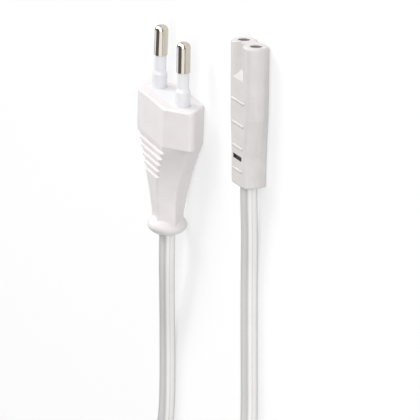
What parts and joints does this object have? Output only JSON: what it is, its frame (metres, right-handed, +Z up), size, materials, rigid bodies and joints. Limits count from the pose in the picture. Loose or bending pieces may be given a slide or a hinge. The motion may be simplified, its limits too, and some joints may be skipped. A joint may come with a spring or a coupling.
{
  "type": "power cord",
  "caption": "White mains lead with a flat pin plug, a lobed appliance connector and a flat cord whose spare length is wound into a tied coil.",
  "frame": {"origin": "on the table, under the middle of the straight part of the plug's lower broad face", "axes": "+Y along the plug's pins, +Z up from the table, +X from the plug towards the connector"},
  "size_m": [0.0818, 0.2256, 0.0128],
  "materials": {
    "body_pvc": "soft white moulded PVC",
    "cord_pvc": "smooth white cord sheath with a low shine",
    "tie_strap": "white woven strap",
    "sleeve_plastic": "hard cool white plastic",
    "pin_nickel": "bright nickel plate on brass",
    "insert_plastic": "black moulded plastic",
    "contact_brass": "plain brass",
    "core_brown": "brown core insulation",
    "core_blue": "blue core insulation",
    "strand_copper": "bare stranded copper"
  },
  "bodies": {
    "root": {"coil_tie": "tie_strap", "connector_body": "body_pvc", "connector_core_blue": "core_blue", "connector_core_brown": "core_brown", "connector_strand_blue": "strand_copper", "connector_strand_brown": "strand_copper", "contact_carrier": "insert_plastic", "contact_left": "contact_brass", "contact_right": "contact_brass", "cord_coil": "cord_pvc", "cord_connector_side": "cord_pvc", "cord_plug_side": "cord_pvc", "pin_carrier": "sleeve_plastic", "pin_left": "pin_nickel", "pin_right": "pin_nickel", "plug_body": "body_pvc", "plug_core_blue": "core_blue", "plug_core_brown": "core_brown", "plug_strand_blue": "strand_copper", "plug_strand_brown": "strand_copper"}
  },
  "joints": []
}
